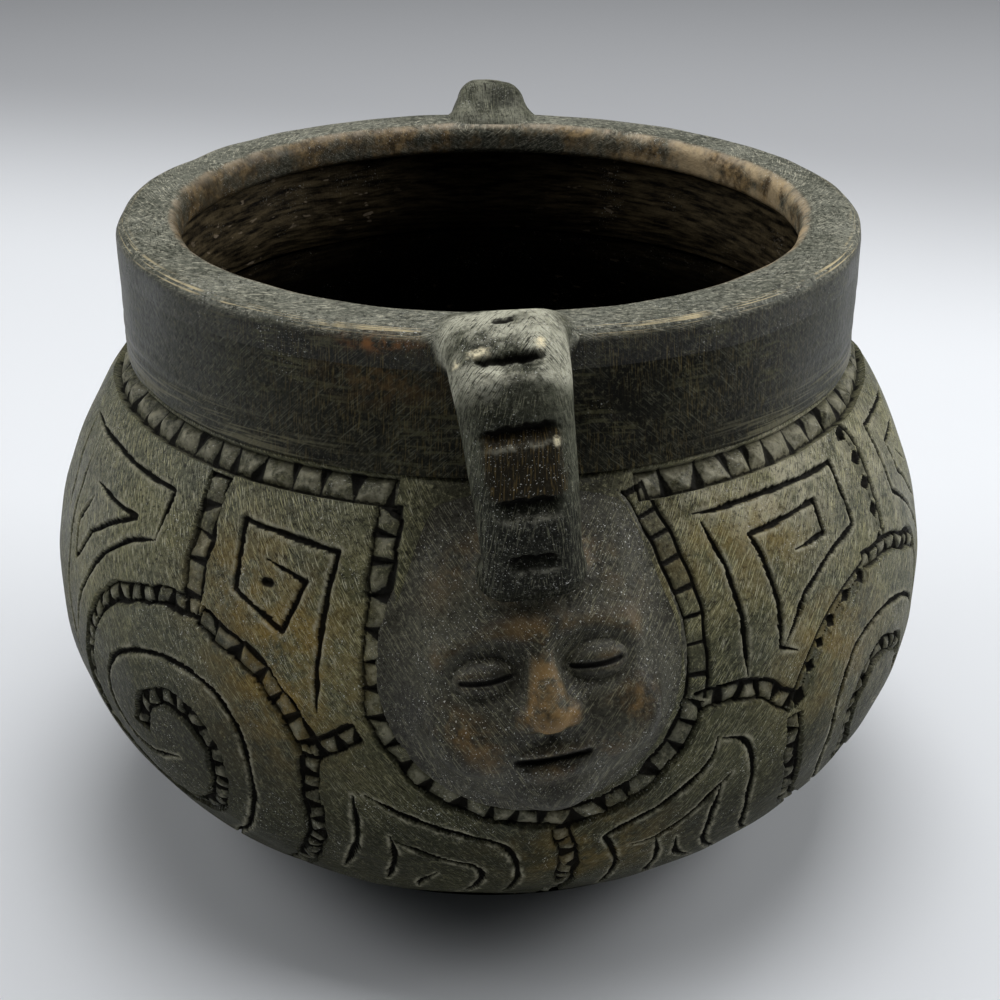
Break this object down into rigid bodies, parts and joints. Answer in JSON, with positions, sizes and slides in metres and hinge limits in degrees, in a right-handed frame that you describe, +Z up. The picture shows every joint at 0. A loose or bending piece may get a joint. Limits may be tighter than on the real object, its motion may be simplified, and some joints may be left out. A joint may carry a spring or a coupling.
{
  "type": "two-handled clay jar",
  "caption": "Wide-mouthed round clay jar with a straight collar, thick lip and opposed strap handles that end in small modelled faces; holds food or drink and stands on a flat base",
  "frame": {"origin": "centre of the flat underside, on the surface that the jar stands on", "axes": "+Z is up along the jar's axis, -Y points out through the front handle and face, and +X is to the right of someone who looks at that face"},
  "size_m": [0.15, 0.1682, 0.1114],
  "materials": {
    "body_clay": "grey-olive burnished clay, satin, with dark incised lines",
    "collar_clay": "near-black burnished clay with rubbed olive-brown streaks",
    "rim_clay": "slate-grey worn clay with scratches and tan worn edges",
    "handle_clay": "slate-grey to brown-black burnished clay, notched",
    "face_clay": "brown-black burnished clay with ochre worn high spots"
  },
  "bodies": {
    "root": {"base_disc": "body_clay", "lower_wall": "body_clay", "belly_wall": "body_clay", "shoulder_wall": "body_clay", "upper_shoulder": "body_clay", "neck_collar": "collar_clay", "rim_lip": "rim_clay", "front_handle": "handle_clay", "front_face": "face_clay", "front_nose": "face_clay", "front_left_eye": "face_clay", "front_right_eye": "face_clay", "front_lips": "face_clay", "rear_handle": "handle_clay", "rear_face": "face_clay", "rear_nose": "face_clay", "rear_left_eye": "face_clay", "rear_right_eye": "face_clay", "rear_lips": "face_clay"}
  },
  "joints": []
}
